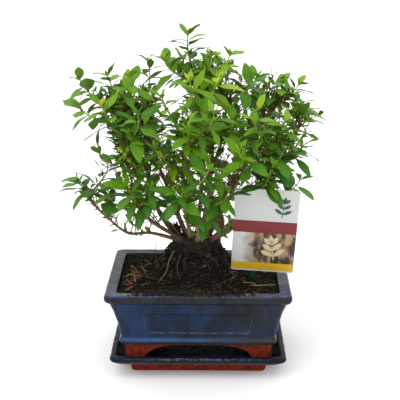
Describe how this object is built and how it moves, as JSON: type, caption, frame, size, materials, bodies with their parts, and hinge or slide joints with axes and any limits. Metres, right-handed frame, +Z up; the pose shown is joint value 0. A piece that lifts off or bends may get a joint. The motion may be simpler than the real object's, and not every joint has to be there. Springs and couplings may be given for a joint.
{
  "type": "potted serissa bonsai",
  "caption": "Small-leaved serissa bonsai with a low stump and slim branches in a rectangular glazed pot on feet, with soil, saucer and a plain card label on a stake.",
  "frame": {"origin": "centre of the saucer's flat underside, on the surface that it stands on", "axes": "+Z up, -Y towards the front of the pot, +X to the right"},
  "size_m": [0.2194, 0.1832, 0.2907],
  "materials": {
    "pot": "dark mottled blue glaze over bare red clay feet",
    "saucer": "near-black blue glaze over a bare red clay foot",
    "soil": "dark fibrous peat with bark chips",
    "bark": "rough brown bark",
    "leaf": "fresh green leaves with a soft sheen, yellow-green at the shoot tips",
    "card": "printed coated card",
    "stake": "dark green moulded plastic"
  },
  "bodies": {
    "root": {"label_card": "card", "label_stake": "stake", "pot": "pot", "saucer": "saucer", "shoot_01": "leaf", "shoot_02": "leaf", "shoot_03": "leaf", "shoot_04": "leaf", "shoot_05": "leaf", "shoot_06": "leaf", "shoot_07": "leaf", "shoot_08": "leaf", "shoot_09": "leaf", "shoot_10": "leaf", "shoot_11": "leaf", "shoot_12": "leaf", "shoot_13": "leaf", "shoot_14": "leaf", "shoot_15": "leaf", "shoot_16": "leaf", "shoot_17": "leaf", "shoot_18": "leaf", "shoot_19": "leaf", "shoot_20": "leaf", "shoot_21": "leaf", "shoot_22": "leaf", "shoot_23": "leaf", "shoot_24": "leaf", "shoot_25": "leaf", "shoot_26": "leaf", "shoot_27": "leaf", "shoot_28": "leaf", "shoot_29": "leaf", "shoot_30": "leaf", "shoot_31": "leaf", "shoot_32": "leaf", "shoot_33": "leaf", "shoot_34": "leaf", "shoot_35": "leaf", "shoot_36": "leaf", "shoot_37": "leaf", "shoot_38": "leaf", "shoot_39": "leaf", "shoot_40": "leaf", "shoot_41": "leaf", "shoot_42": "leaf", "shoot_43": "leaf", "shoot_44": "leaf", "shoot_45": "leaf", "shoot_46": "leaf", "shoot_47": "leaf", "shoot_48": "leaf", "shoot_49": "leaf", "shoot_50": "leaf", "shoot_51": "leaf", "shoot_52": "leaf", "shoot_53": "leaf", "soil": "soil", "trunk_and_branches": "bark"}
  },
  "joints": []
}
